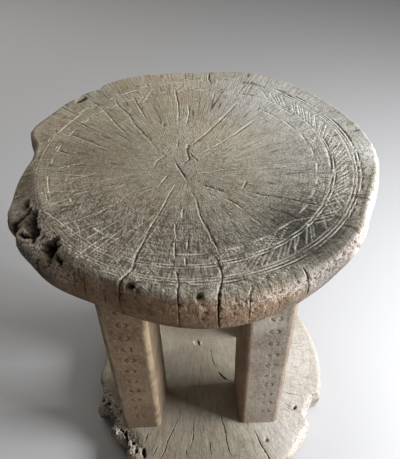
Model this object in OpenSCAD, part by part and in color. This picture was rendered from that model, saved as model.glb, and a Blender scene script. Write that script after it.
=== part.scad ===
/* [Seat] */
// Mean radius of the seat's hewn outline
seat_r = 139; // [132:1:146]
// Thickness of the seat, from its top edge to the flat underside
seat_t = 36; // [30:1:44]
// How far the middle of the seat is worn below its edge
seat_dish = 3; // [1:0.5:6]
// Radius of the worn arris round the seat's top
seat_top_round = 5; // [3:0.5:7]
// Radius of the rounded lower edge of the seat
seat_under_round = 14; // [8:1:16]
// How far the side of the seat bellies out between its two rounded edges
seat_belly = 1.5; // [0.5:0.5:3]

/* [Incised border] */
// How far the outer incised ring lies in from the seat's mean edge
ring_in = 19; // [17:0.5:24]
// Width of the hatched band between the outer and the middle ring
outer_band_w = 15; // [10:0.5:18]
// Width of the plain band between the middle and the inner ring
inner_band_w = 12; // [6:0.5:20]
// Width of an incised line at the surface
groove_w = 1.8; // [1:0.2:2.2]
// Depth of an incised line
groove_d = 0.9; // [0.4:0.1:1.4]
// Number of points of the zigzag between the outer and the middle ring
zigzag_points = 48; // [36:6:60]
// Distance between the zigzag's points and the rings, from line to line
zigzag_clear = 1; // [0.6:0.1:2]

/* [Base] */
// Mean radius of the base's hewn outline
base_r = 137; // [131:1:146]
// Thickness of the base
base_t = 36; // [28:1:44]
// Radius of the worn arris round the base's top
base_top_round = 5; // [3:0.5:7]
// Radius of the worn lower edge that meets the ground
base_foot_round = 6; // [3:0.5:10]
// How far the side of the base bellies out between its two rounded edges
base_belly = 1.5; // [0.5:0.5:3]
// How far the chip broken out of the base reaches in from its edge
chip_in = 11; // [8:1:16]
// Width of that chip along the edge
chip_w = 22; // [16:1:30]
// Depth of that chip below the base's top
chip_d = 18; // [8:1:22]

/* [Posts] */
// Clear height between the base and the seat
post_h = 260; // [200:5:300]
// Width of a post across its outward face
post_w = 37; // [30:1:40]
// Depth of a post, from its outward face to its inner end
post_d = 48; // [40:1:52]
// How far a post's outward face stands in from the base's mean edge
face_in = 60; // [52:1:68]
// How far the outer sides of the front posts stand in from the base's mean edge
front_side_in = 56.5; // [50:0.5:62]
// How far the outer sides of the rear posts stand in from the base's mean edge
rear_side_in = 49; // [45:0.5:56]
// How much further apart the facing sides stand at the outward faces, on each side
gap_splay = 6; // [2:0.5:10]
// How far the front left post leans in from foot to top
left_lean = 4; // [0:0.5:6]
// How far the group of four posts stands off the log's axis towards the left
post_shift = 5.5; // [0:0.5:7]
// Width of a post's worn corners
post_corner = 3; // [1.5:0.5:5]

/* [Punched marks] */
// Number of crescent pairs up the outward face of a post
mark_pairs = 13; // [8:1:14]
// Height of the lowest pair above the base
first_mark = 26; // [20:1:34]
// Spacing of the pairs up the post
mark_pitch = 18; // [16:0.5:19]
// Distance between the two crescents of a pair, centre to centre
mark_spread = 9; // [8:0.5:12]
// Radius of a crescent
mark_r = 3; // [2.5:0.25:3.5]
// Depth of a punched mark
mark_d = 1; // [0.5:0.1:1.5]

/* [Drying checks] */
// Width of a check where it runs out at the edge
check_w = 2; // [1:0.25:3]
// Depth of the checks in the seat
seat_check_d = 14; // [6:1:18]
// Depth of the checks in the base
base_check_d = 12; // [6:1:18]

/* [Hidden] */

// Lobes of an outline: [azimuth in degrees, half-width in degrees, reach in percent of the radius]
seat_lobes = [[120, 14, 6.5], [140, 10, 2.9], [160, 9, 5], [177, 7, -7.9], [-158, 12, 3.2],
    [-140, 16, 4.3], [60, 16, 5], [85, 6, -2.9], [-28, 7, -2.2], [-120, 24, -4.3], [8, 20, 1.4]];
base_lobes = [[175, 15, -12.4], [-166, 6, -12.4], [-142, 8, -5.1], [-134, 5, -3.6], [-52, 8, 5.1]];
// Checks: [azimuth in degrees, start and end in percent of the radius]. One that ends past the edge
// runs out through it.
seat_checks = [[-113, 25, 150], [-86, 31, 150], [-97, 56, 150], [82, 84, 150], [-13, 12, 56],
    [61, 12, 65], [44, 6, 52], [127, 20, 84], [152, 45, 88], [-35, 38, 70]];
base_checks = [[-119, 74, 150], [-114, 53, 150], [-100, 50, 72], [-77, 49, 150], [-59, 69, 150]];
// Where the chip is broken out of the base, as an azimuth
chip_azimuth = -28;

// Heights of the two faces that the posts run between, and of the seat's edge
base_top = base_t;
seat_under = base_top + post_h;
seat_top = seat_under + seat_t;

// Radii of the incised rings
outer_ring_r = seat_r - ring_in;
middle_ring_r = outer_ring_r - outer_band_w;
inner_ring_r = middle_ring_r - inner_band_w;
// Clear width between the facing inner ends of two posts, in front and in the rear
front_gap = 2 * (base_r - front_side_in - post_w - gap_splay);
rear_gap = 2 * (base_r - rear_side_in - post_w - gap_splay);
// Clear depth between the front and the rear posts
gap_deep = 2 * (base_r - face_in - post_d);

// Points round an outline, and straight pieces in a quarter round
outline_steps = 96;
arc_steps = 4;
// A radius beyond every outline, and how far a cut runs on past the face it opens
far = 1.5 * max(seat_r, base_r);
over = seat_dish;
wood = [0.55, 0.48, 0.39];
post_wood = [0.50, 0.42, 0.33];

function sum(v, i = 0) = i < len(v) ? v[i] + sum(v, i + 1) : 0;
// Smallest angle from one azimuth to another
function turn(a, b) = abs((a - b + 540) % 360 - 180);
// Radius of a hewn outline at an azimuth
function hewn_r(mean_r, lobes, az) =
    mean_r * (1 + sum([for (l = lobes) l[2] / 100 * exp(-pow(turn(az, l[0]) / l[1], 2))]));
// Height of the dished top at a radius
function dish_z(r) = seat_top - seat_dish * (1 - pow(min(r, seat_r) / seat_r, 2));

// A profile point is [reach, inset, height]. It lies no further out than its reach, and at least its
// inset inside the outline, so that the rings stay round while the edges follow the outline.
function ring_groove(r, inset) = [
    [r - groove_w / 2, inset + groove_w, dish_z(r)],
    [r, inset + groove_w / 2, dish_z(r) - groove_d],
    [r + groove_w / 2, inset, dish_z(r)]];
// A quarter round whose centre lies at a height and whose outermost point has an inset
function quarter(radius, inset, height, from, to) = [for (i = [0:arc_steps])
    let (a = from + (to - from) * i / arc_steps)
    [far, inset + radius * (1 - cos(a)), height + radius * sin(a)]];

function seat_profile() = concat(
    [[inner_ring_r / 2, inner_ring_r / 2, dish_z(inner_ring_r / 2)]],
    ring_groove(inner_ring_r, seat_top_round + 5 * groove_w),
    ring_groove(middle_ring_r, seat_top_round + 3 * groove_w),
    ring_groove(outer_ring_r, seat_top_round + groove_w),
    quarter(seat_top_round, seat_belly, seat_top - seat_top_round, 90, 0),
    [[far, 0, (seat_top - seat_top_round + seat_under + seat_under_round) / 2]],
    quarter(seat_under_round, seat_belly, seat_under + seat_under_round, 0, -90));

function base_profile() = concat(
    quarter(base_top_round, base_belly, base_top - base_top_round, 90, 0),
    [[far, 0, (base_top - base_top_round + base_foot_round) / 2]],
    quarter(base_foot_round, base_belly, base_foot_round, 0, -90));

// A disc hewn from the log: its profile is carried round the outline
module hewn_disc(mean_r, lobes, profile, middle_top, middle_under) {
    rings = len(profile);
    n = outline_steps;
    points = concat([[0, 0, middle_top]],
        [for (p = profile, i = [0:n - 1])
            let (az = i * 360 / n, r = min(p[0], hewn_r(mean_r, lobes, az) - p[1]))
            [r * cos(az), r * sin(az), p[2]]],
        [[0, 0, middle_under]]);
    last = len(points) - 1;
    foot = 1 + (rings - 1) * n;
    polyhedron(points, concat(
        [for (i = [0:n - 1]) [0, 1 + (i + 1) % n, 1 + i]],
        [for (k = [0:rings - 2], i = [0:n - 1])
            let (a = 1 + k * n + i, b = 1 + k * n + (i + 1) % n)
            each [[a, b, b + n], [a, b + n, a + n]]],
        [for (i = [0:n - 1]) [last, foot + i, foot + (i + 1) % n]]));
}

// A drying check, widest where it runs out at the edge or else near its middle
module check(c, disc_r, top, depth) {
    from = disc_r * c[1] / 100;
    to = disc_r * c[2] / 100;
    wide = to > disc_r ? disc_r : (from + to) / 2;
    rotate([0, 0, c[0]])
    translate([0, 0, top - depth])
    linear_extrude(depth + over)
    polygon(concat([[from, 0], [wide, -check_w / 2]],
        to > disc_r ? [[to, -check_w / 2], [to, check_w / 2]] : [[to, 0]],
        [[wide, check_w / 2]]));
}

// The zigzag line, as a band between an outer and an inner broken line
zigzag_in = groove_w + zigzag_clear;
function zigzag(shift) = [for (i = [0:2 * zigzag_points - 1])
    let (a = i * 180 / zigzag_points,
        r = shift + (i % 2 == 0 ? outer_ring_r - zigzag_in : middle_ring_r + zigzag_in))
    [r * cos(a), r * sin(a)]];

module zigzag_cut() {
    translate([0, 0, dish_z(middle_ring_r) - groove_d])
    linear_extrude(groove_d + over)
    difference() {
        polygon(zigzag(groove_w / 2));
        polygon(zigzag(-groove_w / 2));
    }
}

module seat() {
    color(wood)
    difference() {
        hewn_disc(seat_r, seat_lobes, seat_profile(), dish_z(0), seat_under);
        zigzag_cut();
        for (c = seat_checks)
            check(c, seat_r, seat_top, seat_check_d);
    }
}

module base() {
    edge = hewn_r(base_r, base_lobes, chip_azimuth);
    color(wood)
    difference() {
        hewn_disc(base_r, base_lobes, base_profile(), base_top, 0);
        for (c = base_checks)
            check(c, base_r, base_top, base_check_d);
        // The broken-out chip, a splintered block whose floor falls outwards
        rotate([0, 0, chip_azimuth])
        translate([edge - chip_in, -chip_w / 2, base_top - chip_d])
        rotate([0, 10, 5])
        cube([2 * chip_in, chip_w, 2 * chip_d]);
    }
}

// Plan of a front right post: each corner is cut across, so that it stays crisp but worn
function post_plan(gap) =
    let (inner_end = gap / 2, inner_out = gap / 2 + gap_splay, outer = inner_out + post_w,
        near = gap_deep / 2, away = gap_deep / 2 + post_d, c = post_corner)
    [[inner_end + c, near], [outer - c, near], [outer, near + c], [outer, away - c],
        [outer - c, away], [inner_out + c, away], [inner_out, away - c], [inner_end, near + c]];

// An upright standing between the two discs, with its marks. Side is -1 left or 1 right, and end is -1
// front or 1 rear.
module post(side, end, gap, lean = 0) {
    plan = post_plan(gap);
    n = len(plan);
    color(post_wood)
    translate([-post_shift, 0, base_top])
    scale([side, end, 1])
    difference() {
        polyhedron(concat([for (p = plan) [p[0], p[1], 0]], [for (p = plan) [p[0] - lean, p[1], post_h]]),
            concat([[for (i = [0:n - 1]) i]],
                [for (i = [0:n - 1]) [i, i + n, (i + 1) % n + n, (i + 1) % n]],
                [[for (i = [n - 1:-1:0]) n + i]]));
        for (k = [0:mark_pairs - 1], facing = [-1, 1])
            let (h = first_mark + k * mark_pitch)
            translate([gap / 2 + gap_splay + post_w / 2 - lean * h / post_h,
                gap_deep / 2 + post_d - mark_d, h])
            crescent(facing);
    }
}

// One punched crescent, its hollow turned to its neighbour
module crescent(facing) {
    bulge = 0.45 * mark_r;
    translate([facing * mark_spread / 2, 0, 0])
    rotate([-90, 0, 0])
    linear_extrude(mark_d + over)
    scale([facing, 1])
    polygon(concat([for (a = [-90:45:90]) [mark_r * cos(a), mark_r * sin(a)]],
        [for (a = [45:-45:-45]) [bulge * cos(a), mark_r * sin(a)]]));
}

module front_left_post() { post(-1, -1, front_gap, left_lean); }
module front_right_post() { post(1, -1, front_gap); }
module rear_left_post() { post(-1, 1, rear_gap); }
module rear_right_post() { post(1, 1, rear_gap); }

seat();
base();
front_left_post();
front_right_post();
rear_left_post();
rear_right_post();
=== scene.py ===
import math
import random

import bmesh
import bpy
import numpy as np
from mathutils import Matrix, Vector
from mathutils.kdtree import KDTree


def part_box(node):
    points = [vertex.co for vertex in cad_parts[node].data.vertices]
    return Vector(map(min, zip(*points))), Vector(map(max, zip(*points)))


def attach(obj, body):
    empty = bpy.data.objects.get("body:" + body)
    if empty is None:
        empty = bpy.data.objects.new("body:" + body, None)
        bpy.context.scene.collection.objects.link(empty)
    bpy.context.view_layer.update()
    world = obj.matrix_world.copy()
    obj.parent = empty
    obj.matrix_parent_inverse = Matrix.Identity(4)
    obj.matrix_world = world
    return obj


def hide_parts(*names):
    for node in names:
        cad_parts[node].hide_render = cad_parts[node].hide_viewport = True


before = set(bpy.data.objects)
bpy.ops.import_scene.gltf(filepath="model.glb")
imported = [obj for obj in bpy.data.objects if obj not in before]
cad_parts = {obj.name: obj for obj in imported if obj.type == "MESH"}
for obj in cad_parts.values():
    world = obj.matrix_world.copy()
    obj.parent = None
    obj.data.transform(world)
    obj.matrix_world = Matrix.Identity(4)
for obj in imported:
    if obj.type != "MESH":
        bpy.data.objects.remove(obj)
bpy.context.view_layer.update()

mm = 0.001
scene = bpy.context.scene
print("frame loaded")


# Shared helpers

def smoothStep(x):
    x = np.clip(x, 0.0, 1.0)
    return x * x * (3 - 2 * x)


def turnAngle(a, b):
    return np.abs((a - b + 540) % 360 - 180)


def bell(azimuth, middle, width, power=2):
    return np.exp(-(turnAngle(azimuth, middle) / width) ** power)


def bells(azimuth, rows, power=2, scale=1):  # each row is azimuth, width, height
    return sum(row[2] / scale * bell(azimuth, row[0], row[1], power) for row in rows)


def hewnRadius(azimuth, disc):  # the outline of a disc, in mm
    share = bells(azimuth, disc["lobes"], scale=100)
    return disc["radius"] * (1 + share) + bells(azimuth, disc["nicks"]) + bells(azimuth, disc["breaks"], 8)


def makePiece(name, points, faces=(), edges=(), values=None):
    mesh = bpy.data.meshes.new(name)
    mesh.from_pydata([tuple(p) for p in points], list(edges), list(faces))
    mesh.update()
    for key, data in (values or {}).items():
        layer = mesh.attributes.new(key, "FLOAT", "POINT")
        layer.data.foreach_set("value", np.asarray(data, dtype=np.float32))
    piece = bpy.data.objects.new(name, mesh)
    scene.collection.objects.link(piece)
    return piece


class Wire:  # a value in a node tree, for sums and products of such values
    def __init__(self, nodes, socket):
        self.nodes = nodes
        self.socket = socket

    def __add__(self, other):
        return self.nodes.math("ADD", self, other)

    def __sub__(self, other):
        return self.nodes.math("SUBTRACT", self, other)

    def __mul__(self, other):
        return self.nodes.math("MULTIPLY", self, other)

    def __truediv__(self, other):
        return self.nodes.math("DIVIDE", self, other)


class Nodes:  # adds nodes to a tree and joins them up
    def __init__(self, tree):
        self.tree = tree

    def node(self, kind, inputs=None, **settings):
        node = self.tree.nodes.new(kind)
        for key, value in settings.items():
            setattr(node, key, value)
        for key, value in (inputs or {}).items():
            if isinstance(value, Wire):
                self.tree.links.new(value.socket, node.inputs[key])
            else:
                node.inputs[key].default_value = value
        return node

    def add(self, kind, inputs=None, out=0, **settings):
        return Wire(self, self.node(kind, inputs, **settings).outputs[out])

    def named(self, node):
        return {socket.name: Wire(self, socket) for socket in node.outputs}

    def math(self, operation, a, b=0.0, clamp=False):
        return self.add("ShaderNodeMath", {0: a, 1: b}, operation=operation, use_clamp=clamp)

    def vector(self, operation, a, b=(0, 0, 0), out=0):
        return self.add("ShaderNodeVectorMath", {0: a, 1: b}, out, operation=operation)

    def scaled(self, vector, factor):
        return self.add("ShaderNodeVectorMath", {0: vector, "Scale": factor}, operation="SCALE")

    def combine(self, x, y=0.0, z=0.0):
        return self.add("ShaderNodeCombineXYZ", {0: x, 1: y, 2: z})

    def split(self, vector):
        return [Wire(self, socket) for socket in self.node("ShaderNodeSeparateXYZ", {0: vector}).outputs]

    def spread(self, value, low, high, toLow=0.0, toHigh=1.0, kind="LINEAR"):
        return self.add("ShaderNodeMapRange", {0: value, 1: low, 2: high, 3: toLow, 4: toHigh},
                        interpolation_type=kind)

    def noise(self, vector, seed, scale, detail=2.0, roughness=0.5):
        return self.add("ShaderNodeTexNoise", {"Vector": vector, "W": seed, "Scale": scale, "Detail": detail,
                                               "Roughness": roughness}, noise_dimensions="4D")

    def attribute(self, name, kind="FLOAT"):
        return self.add("GeometryNodeInputNamedAttribute", {"Name": name}, data_type=kind)

    def store(self, geometry, name, value, kind="FLOAT"):
        inputs = {"Geometry": geometry, "Name": name, "Value": value}
        return self.add("GeometryNodeStoreNamedAttribute", inputs, data_type=kind, domain="POINT")

    def chance(self, low, high, identity, seed):
        return self.add("FunctionNodeRandomValue", {2: low, 3: high, "ID": identity, "Seed": seed}, 1,
                        data_type="FLOAT")

    def asLines(self, geometry, halfWidth, depth):  # what the carving tree reads from a line
        for name, value in (("halfWidth", halfWidth), ("depth", depth), ("low", -1.0)):
            geometry = self.store(geometry, name, value)
        return geometry

    def close(self, *parts):  # every tree ends in plain geometry with its material
        joined = self.node("GeometryNodeJoinGeometry")
        for part in parts:
            self.tree.links.new(part.socket, joined.inputs[0])
        plain = self.add("GeometryNodeRealizeInstances", {"Geometry": Wire(self, joined.outputs[0])})
        dressed = self.add("GeometryNodeSetMaterial", {"Geometry": plain, "Material": self.given["Wood"]})
        self.node("NodeGroupOutput", {"Geometry": dressed})


trees = {}
socketKinds = {float: "Float", int: "Int", tuple: "Vector", str: "String", type(None): "Object"}


def newTree(name, inputs, outputs=()):  # a shader group, or a Geometry Nodes tree where no outputs are named
    tree = bpy.data.node_groups.new(name, "ShaderNodeTree" if outputs else "GeometryNodeTree")
    sockets = [(label, socketKinds[type(value)], value) for label, value in inputs.items()]
    if not outputs:
        sockets = [("Geometry", "Geometry", None), *sockets, ("Wood", "Material", None)]
    for label, kind, value in sockets:
        socket = tree.interface.new_socket(label, in_out="INPUT", socket_type="NodeSocket" + kind)
        if value is not None:
            socket.default_value = value
    kind = "NodeSocketFloat" if outputs else "NodeSocketGeometry"
    for label in outputs or ("Geometry",):
        tree.interface.new_socket(label, in_out="OUTPUT", socket_type=kind)
    trees[name] = tree
    n = Nodes(tree)
    n.given = n.named(n.node("NodeGroupInput"))
    return n, n.given


def runTree(piece, name, values):  # puts a tree on a piece as a modifier
    modifier = piece.modifiers.new(name, "NODES")
    modifier.node_group = trees[name]
    for item in trees[name].interface.items_tree:
        if item.item_type == "SOCKET" and item.in_out == "INPUT" and item.name in values:
            modifier[item.identifier] = values[item.name]


def bakeTrees(piece):  # turns what the trees made into a plain mesh
    graph = bpy.context.evaluated_depsgraph_get()
    mesh = bpy.data.meshes.new_from_object(piece.evaluated_get(graph))
    piece.modifiers.clear()
    old = piece.data
    piece.data = mesh
    mesh.name = piece.name
    mesh.shade_smooth()
    bpy.data.meshes.remove(old)


# each pass takes edges within a width of a line that are at least so long, in mm
splitting = {"passes": ((1.7, 0.9), (1.2, 0.45)), "crack": 1.0, "stroke": 0.6, "zoneEdge": 0.8, "slant": 0.75}


def splitNear(piece, cracks, strokes, zones, lowest):  # finer faces across a line and in a crumbled zone
    found = []
    for lines, reach in ((cracks, splitting["crack"]), (strokes, splitting["stroke"])):
        for halfWidth, depth, low, corners in lines:
            for a, b in zip(corners, corners[1:]):
                a, b = np.array(a, dtype=float) * mm, np.array(b, dtype=float) * mm
                length = np.linalg.norm(b - a)
                found.extend((a + (b - a) * share, (b - a) / length, reach)
                             for share in np.linspace(0, 1, max(2, int(length / mm))))
    tree = KDTree(len(found))
    for index, (spot, way, reach) in enumerate(found):
        tree.insert((*spot, 0), index)
    tree.balance()
    mesh = bmesh.new()
    mesh.from_mesh(piece.data)
    for width, least in splitting["passes"]:
        chosen = []
        for edge in mesh.edges:
            span = edge.verts[1].co - edge.verts[0].co
            middle = (edge.verts[1].co + edge.verts[0].co) / 2
            length = span.length
            if length < least * mm or middle.z < lowest:
                continue
            out = math.hypot(middle.x, middle.y)
            turn = math.degrees(math.atan2(middle.y, middle.x))
            if any(turnAngle(turn, at) < aside and out > start * mm and middle.z > low * mm
                   for at, aside, start, low in zones):
                if length > splitting["zoneEdge"] * mm:
                    chosen.append(edge)
                continue
            flat, index, away = tree.find((middle.x, middle.y, 0))
            spot, way, reach = found[index]
            across = abs(span.x * way[0] + span.y * way[1]) < splitting["slant"] * length
            if across and away < width * mm * reach + length / 2:
                chosen.append(edge)
        bmesh.ops.subdivide_edges(mesh, edges=chosen, cuts=1, use_grid_fill=True)
    mesh.to_mesh(piece.data)
    mesh.free()


# Trees

def wornTree():  # hewing waves and roughness, pushed along the surface's own normal
    n, given = newTree("wornSurface", {
        "Wave": 0.0006, "Wave Scale": 18.0, "Rough": 0.0002, "Rough Scale": (300, 300, 300), "Ruin": 0.002,
        "Seed": 0.0, "Floor": 0.0})
    place, seed = n.add("GeometryNodeInputPosition"), given["Seed"]
    wave = n.noise(place, seed, given["Wave Scale"])
    rough = n.noise(n.vector("MULTIPLY", place, given["Rough Scale"]), seed, 1.0, 3.0, 0.65)
    crumble = n.noise(place, seed, 120.0, 3.0, 0.6)
    grit = n.noise(place, seed, 420.0, 2.0, 0.6)
    broken = (crumble - 0.60) + (grit - 0.58) * 0.9
    push = (wave - 0.5) * given["Wave"] + (rough - 0.5) * given["Rough"]
    push = push + broken * (n.attribute("ruin") * given["Ruin"])
    free = n.spread(n.split(place)[2] - given["Floor"], 0.0005, 0.004)
    offset = n.scaled(n.add("GeometryNodeInputNormal"), push * free)
    n.close(n.add("GeometryNodeSetPosition", {"Geometry": given["Geometry"], "Offset": offset}))


def carveTree():  # sinks a surface along the lines of another object, seen flat from one side
    n, given = newTree("carveAlongLines", {
        "Lines": None, "Flatten": (1, 1, 0), "Facing": (0, 0, 1), "Least Facing": -0.3, "Sharpness": 1.0,
        "Ragged": 0.0, "Ragged Scale": 400.0, "Mask": "carved"})
    lines = n.add("GeometryNodeObjectInfo", {"Object": given["Lines"]}, "Geometry")
    place, normal = n.add("GeometryNodeInputPosition"), n.add("GeometryNodeInputNormal")
    flat = n.vector("MULTIPLY", place, given["Flatten"])
    away = n.add("GeometryNodeProximity", {0: lines, "Sample Position": flat}, "Distance",
                 target_element="EDGES")
    index = n.add("GeometryNodeSampleNearest", {0: lines, "Sample Position": flat}, domain="POINT")

    def sampled(name):
        return n.add("GeometryNodeSampleIndex", {0: lines, 1: n.attribute(name), "Index": index},
                     data_type="FLOAT", domain="POINT")

    torn = n.add("ShaderNodeTexNoise", {"Vector": place, "Scale": given["Ragged Scale"], "Detail": 2.0})
    reach = (away + (torn - 0.5) * given["Ragged"]) / n.math("MAXIMUM", sampled("halfWidth"), 0.00001)
    shape = n.math("POWER", n.math("SUBTRACT", 1.0, reach, clamp=True), given["Sharpness"])
    least = given["Least Facing"]
    facing = n.spread(n.vector("DOT_PRODUCT", normal, given["Facing"], 1), least, least + 0.15)
    free = n.spread(n.split(place)[2] - sampled("low"), 0.0, 0.003)
    amount = shape * facing * free
    kept = n.store(given["Geometry"], given["Mask"], amount)
    offset = n.scaled(normal, amount * sampled("depth") * -1.0)
    n.close(n.add("GeometryNodeSetPosition", {"Geometry": kept, "Offset": offset}))


def ringTree():  # one incised ring, cut by hand, so it wanders and fades
    n, given = newTree("incisedRing", {
        "Radius": 0.12, "Centre": (0, 0, 0), "Wander": 0.001, "Half Width": 0.0008, "Depth": 0.0006,
        "Least": 0.2, "Strong Side": (1, -0.5, 0), "Seed": 0.0})
    circle = n.add("GeometryNodeCurvePrimitiveCircle", {"Resolution": 360, "Radius": given["Radius"]})
    wire = n.add("GeometryNodeCurveToMesh", {0: circle})
    place = n.add("GeometryNodeInputPosition")
    outward = n.vector("NORMALIZE", place)
    drift = n.noise(place, given["Seed"], 14.0) - 0.5
    offset = n.vector("ADD", n.scaled(outward, drift * given["Wander"]), given["Centre"])
    wire = n.add("GeometryNodeSetPosition", {"Geometry": wire, "Offset": offset})
    side = n.vector("DOT_PRODUCT", outward, n.vector("NORMALIZE", given["Strong Side"]), 1)
    strength = (n.spread(side, -0.6, 0.5, given["Least"])
                * n.spread(n.noise(place, given["Seed"], 60.0), 0.3, 0.6, 0.55, 1.0))
    wire = n.asLines(wire, strength * given["Half Width"], strength * given["Depth"])
    n.close(wire, given["Geometry"])


def hatchTree():  # slanting cuts between two rings, in groups that lean one way and then the other
    n, given = newTree("borderHatching", {
        "Count": 200, "Group": 14, "Inner Radius": 0.105, "Outer Radius": 0.119, "Centre": (0, 0, 0),
        "Lean": 7.0, "From": -180.0, "To": 180.0, "Missing": 0.1, "Jitter": 1.0, "Half Width": 0.0006,
        "Depth": 0.0004, "Seed": 1})
    index = n.add("GeometryNodeInputIndex")

    def chance(low, high, offset):
        return n.chance(low, high, index, given["Seed"] + offset)

    def polar(radius, degrees):
        turn = n.math("RADIANS", degrees)
        flat = n.combine(radius * n.math("COSINE", turn), radius * n.math("SINE", turn))
        return n.vector("ADD", flat, given["Centre"])

    step = (given["To"] - given["From"]) / given["Count"]
    angle = given["From"] + index * step + chance(-0.5, 0.5, 0) * given["Jitter"]
    group = n.math("FLOOR", index / given["Group"])
    way = n.math("MODULO", group, 2.0) * 2.0 - 1.0
    lean = way * given["Lean"] * chance(0.8, 1.15, 1)
    start = polar(given["Inner Radius"] + chance(0.0002, 0.0016, 2), angle)
    end = polar(given["Outer Radius"] - chance(0.0002, 0.0022, 3), angle + lean)
    dots = n.add("GeometryNodePoints", {"Count": given["Count"]})
    dots = n.add("GeometryNodeSetPosition", {"Geometry": dots, "Position": start})
    dots = n.store(dots, "along", n.vector("SUBTRACT", end, start), "FLOAT_VECTOR")
    gone = n.math("LESS_THAN", chance(0.0, 1.0, 4), given["Missing"])
    dots = n.add("GeometryNodeDeleteGeometry", {"Geometry": dots, "Selection": gone}, domain="POINT")
    cut = n.add("GeometryNodeMeshLine", {"Count": 9, "Offset": (0.125, 0, 0)}, mode="OFFSET")
    along = n.attribute("along", "FLOAT_VECTOR")
    turned = n.add("FunctionNodeAlignRotationToVector", {"Vector": along}, axis="X")
    cuts = n.add("GeometryNodeInstanceOnPoints", {"Points": dots, "Instance": cut, "Rotation": turned,
                                                  "Scale": n.vector("LENGTH", along, out=1)})
    wire = n.add("GeometryNodeRealizeInstances", {"Geometry": cuts})
    n.close(n.asLines(wire, given["Half Width"], given["Depth"]), given["Geometry"])


def markTree():  # pairs of punched crescents that face each other, one pair above the next
    n, given = newTree("punchedMarks", {
        "Pairs": 13, "Lowest": (0, 0, 0), "Pitch": (0, 0, 0.018), "Spread": 0.009, "Radius": 0.003,
        "Sweep": 150.0, "Jitter": 0.001, "Half Width": 0.0008, "Depth": 0.001, "Seed": 1})
    index = n.add("GeometryNodeInputIndex")
    level = n.math("FLOOR", index / 2.0)
    side = n.math("MODULO", index, 2.0) * 2.0 - 1.0
    jitter = [n.chance(-1.0, 1.0, level, given["Seed"] + k) * given["Jitter"] for k in range(2)]
    place = n.vector("ADD", given["Lowest"], n.scaled(given["Pitch"], level))
    place = n.vector("ADD", place, n.combine(side * 0.5 * given["Spread"] + jitter[0], 0.0, jitter[1]))
    dots = n.add("GeometryNodePoints", {"Count": given["Pairs"] * 2})
    dots = n.add("GeometryNodeSetPosition", {"Geometry": dots, "Position": place})
    sweep = n.math("RADIANS", given["Sweep"])
    arc = n.add("GeometryNodeCurveArc", {"Resolution": 9, "Radius": given["Radius"], "Sweep Angle": sweep},
                mode="RADIUS")
    for rotation in (n.combine(0.0, 0.0, sweep * -0.5), (math.pi / 2, 0, 0)):
        arc = n.add("GeometryNodeTransform", {"Geometry": arc, "Rotation": rotation})
    tilt = n.chance(-0.25, 0.25, index, given["Seed"] + 2)
    marks = n.add("GeometryNodeInstanceOnPoints", {
        "Points": dots, "Instance": n.add("GeometryNodeCurveToMesh", {0: arc}),
        "Rotation": n.combine(0.0, tilt), "Scale": n.combine(side, 1.0, 1.0)})
    wire = n.add("GeometryNodeRealizeInstances", {"Geometry": marks})
    n.close(n.asLines(wire, given["Half Width"], given["Depth"]))


for build in (wornTree, carveTree, ringTree, hatchTree, markTree):
    build()
print("trees built")


# Lines that a tree carves along. A line is [half width, depth, height it runs down to, points], in mm.

def linePiece(name, rows, edges):  # each row is x, y, z, half width, depth and lowest height
    rows = np.array(rows) * mm
    values = dict(zip(("halfWidth", "depth", "low"), rows[:, 3:].T))
    return makePiece(name, rows[:, :3], edges=edges, values=values)


drawing = {  # how a crack wanders and tapers, and the shares that its width and depth vary between
    "step": 1.5, "wobble": 0.35, "steady": 0.7, "rim": 132, "taper": 3.0, "blunt": 0.25,
    "widths": (0.7, 1.15), "depths": (0.8, 1.1),
}


def crackLines(name, cracks, seed, blunt):  # a line tapers at its ends, but not where it runs over the rim
    chance, wobble, steady = random.Random(seed), drawing["wobble"], drawing["steady"]
    rows, edges = [], []
    for halfWidth, depth, low, corners in cracks:
        corners = np.array(corners, dtype=float)
        along = np.concatenate([[0], np.cumsum(np.linalg.norm(np.diff(corners, axis=0), axis=1))])
        count = max(3, int(along[-1] / drawing["step"]))
        places = np.linspace(0, along[-1], count)
        runsOver = np.linalg.norm(corners[-1]) > drawing["rim"]
        drift = 0.0
        for k, place in enumerate(places):
            share = k / (count - 1)
            drift = steady * drift + chance.uniform(-wobble, wobble)
            fromEnd = share if runsOver else min(share, 1 - share)
            taper = min(1.0, blunt + drawing["taper"] * fromEnd)
            x, y = (np.interp(place, along, corners[:, axis]) + steady * drift for axis in range(2))
            rows.append((x, y, 0.0, halfWidth * taper * chance.uniform(*drawing["widths"]),
                         depth * taper * chance.uniform(*drawing["depths"]), low))
            if k:
                edges.append((len(rows) - 2, len(rows) - 1))
    return linePiece(name, rows, edges)


def paintedLightBeside(cracks, gap=0.55, halfWidth=0.5):  # a pale line beside one wall of a crack: painted light where that wall faces the light
    litLines = []
    for crackHalf, depth, low, corners in cracks:
        corners = np.array(corners, dtype=float)
        way = corners[-1] - corners[0]
        across = np.array([-way[1], way[0]]) / np.linalg.norm(way)
        steep = abs(across[0]) < 0.3
        across = across * (np.sign(across[1]) if steep else -np.sign(across[0]))
        litLines.append([halfWidth, 0.1, low, (corners + across * (crackHalf + gap)).tolist()])
    return litLines


def pitLines(name, pits, piece):  # a pit is [half width, depth, x, y, z], in mm, and moves to the surface
    rows = []
    for halfWidth, depth, x, y, z in pits:
        x, y, z = (value / mm for value in piece.closest_point_on_mesh((x * mm, y * mm, z * mm))[1])
        rows.extend((x + k * halfWidth, y + k * halfWidth, z, halfWidth, depth, -1000) for k in (-0.3, 0.3))
    return linePiece(name, rows, [(k, k + 1) for k in range(0, len(rows), 2)])


# how far a pit lies below the surface, more so on the rounded edge, and how its size and depth vary
pitting = {"sunk": 0.5, "roundFrom": 4, "roundSlope": 0.8, "sizes": (0.6, 1.4), "depths": (0.7, 1.2)}


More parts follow.
